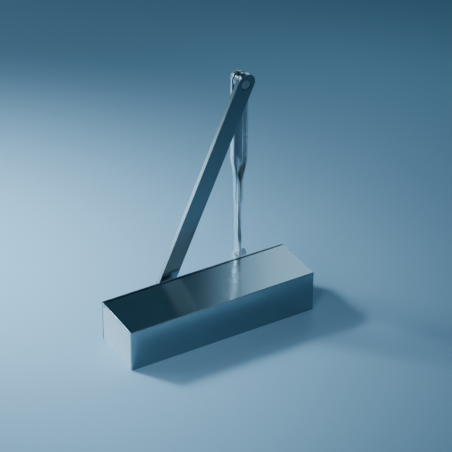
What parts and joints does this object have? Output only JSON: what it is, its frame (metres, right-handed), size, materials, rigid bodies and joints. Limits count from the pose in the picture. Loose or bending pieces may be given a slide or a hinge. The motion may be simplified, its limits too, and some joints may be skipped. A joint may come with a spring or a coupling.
{
  "type": "door closer",
  "caption": "Slim box door closer with rack-and-pinion spring body, lift-off aluminium cover and a two-piece folding arm with an adjustable rod and frame shoe.",
  "frame": {"origin": "centre of the four fixing holes, on the face that goes against the door", "axes": "+X along the body, +Y out of the side where the spindle carries the arm, +Z out of the door; the closer lies on its back"},
  "size_m": [0.229, 0.0961, 0.2788],
  "materials": {
    "satin_aluminium": "satin anodised, brushed along X",
    "rail_aluminium": "satin anodised",
    "cap_silver": "fine matt silver lacquer",
    "cast_housing": "die cast, shot blasted",
    "arm_steel": "silver, fine grain along the bar",
    "link_steel": "pressed steel, silver finish",
    "zinc_steel": "bright zinc plate",
    "machined_steel": "ground and turned",
    "dark_steel": "blackened, oiled",
    "spring_steel": "drawn spring wire, oiled",
    "valve_brass": "turned brass",
    "seal_rubber": "nitrile rubber, smooth"
  },
  "bodies": {
    "body": {"back_plate": "zinc_steel", "top_rail": "rail_aluminium", "rail_screws": "zinc_steel", "plate_screws": "zinc_steel", "housing": "cast_housing", "end_plug_left": "dark_steel", "end_plug_right": "dark_steel", "seal_ring_left": "seal_rubber", "seal_ring_right": "seal_rubber", "bearing_upper": "machined_steel", "bearing_lower": "machined_steel", "shaft_seal": "seal_rubber", "spindle_gland": "dark_steel", "spindle_end_cap": "dark_steel", "closing_spring": "spring_steel"},
    "cover": {"cover_profile": "satin_aluminium", "end_cap_left": "cap_silver", "end_cap_right": "cap_silver"},
    "closing_valve_screw": {"closing_valve": "valve_brass"},
    "latching_valve_screw": {"latching_valve": "valve_brass"},
    "backcheck_valve_screw": {"backcheck_valve": "valve_brass"},
    "piston_unit": {"piston": "machined_steel", "check_valve": "valve_brass"},
    "seat_unit": {"spring_seat": "machined_steel"},
    "adjuster_unit": {"force_adjuster": "zinc_steel"},
    "spindle_arm": {"spindle": "machined_steel", "main_arm": "arm_steel", "arm_washer": "zinc_steel", "arm_screw": "zinc_steel", "elbow_pin": "machined_steel", "elbow_boss": "arm_steel", "elbow_bush": "dark_steel", "elbow_washer": "zinc_steel"},
    "link": {"link_arm": "link_steel"},
    "rod": {"link_rod": "zinc_steel"},
    "knuckle": {"shoe_knuckle": "link_steel", "cross_bolt": "zinc_steel", "cross_nut": "zinc_steel"},
    "shoe": {"frame_shoe": "link_steel", "shoe_pin": "zinc_steel"}
  },
  "joints": [
    {"name": "cover_lift", "type": "slide", "parent": "body", "child": "cover", "axis": [0, 0, 1], "range_m": [0, 0.08]},
    {"name": "spindle_turn", "type": "hinge", "parent": "body", "child": "spindle_arm", "pos_m": [-0.0385, 0, 0.025], "axis": [0, -1, 0], "range_deg": [0, 115], "stiffness_Nm_per_rad": 8, "springref_deg": -91.67},
    {"name": "piston_slide", "type": "slide", "parent": "body", "child": "piston_unit", "axis": [1, 0, 0], "range_m": [0, 0.0211], "deforming": ["closing_spring"]},
    {"name": "elbow_turn", "type": "hinge", "parent": "spindle_arm", "child": "link", "pos_m": [0.06808, 0.054, 0.26664], "axis": [0, -1, 0], "range_deg": [-10, 150]},
    {"name": "rod_length", "type": "slide", "parent": "link", "child": "rod", "axis": [0, 0, 1], "range_m": [-0.006, 0.025]},
    {"name": "shoe_tilt", "type": "hinge", "parent": "rod", "child": "knuckle", "pos_m": [0.06808, 0.054, 0.03844], "axis": [-1, 0, 0], "range_deg": [-18, 18]},
    {"name": "shoe_swing", "type": "hinge", "parent": "knuckle", "child": "shoe", "pos_m": [0.06808, 0.054, 0.01994], "axis": [0, -1, 0], "range_deg": [-75, 75]},
    {"name": "closing_speed", "type": "hinge", "parent": "body", "child": "closing_valve_screw", "pos_m": [-0.076, -0.02575, 0.03], "axis": [0, 0, 1], "range_deg": [-180, 360]},
    {"name": "latching_speed", "type": "hinge", "parent": "body", "child": "latching_valve_screw", "pos_m": [-0.064, -0.02575, 0.03], "axis": [0, 0, 1], "range_deg": [-180, 360]},
    {"name": "backcheck", "type": "hinge", "parent": "body", "child": "backcheck_valve_screw", "pos_m": [-0.012, -0.02575, 0.03], "axis": [0, 0, 1], "range_deg": [-180, 360]},
    {"name": "force_adjust", "type": "hinge", "parent": "body", "child": "adjuster_unit", "pos_m": [0.1, 0, 0.025], "axis": [1, 0, 0], "range_deg": [0, 700]},
    {"name": "seat_slide", "type": "slide", "parent": "body", "child": "seat_unit", "axis": [1, 0, 0], "range_m": [0, 0.0029], "deforming": ["closing_spring"]}
  ],
  "couplings": [
    {"joint": "piston_slide", "follows": "spindle_turn", "m_per_rad": 0.0105},
    {"joint": "force_adjust", "follows": "seat_slide", "rad_per_m": 4188.8}
  ]
}
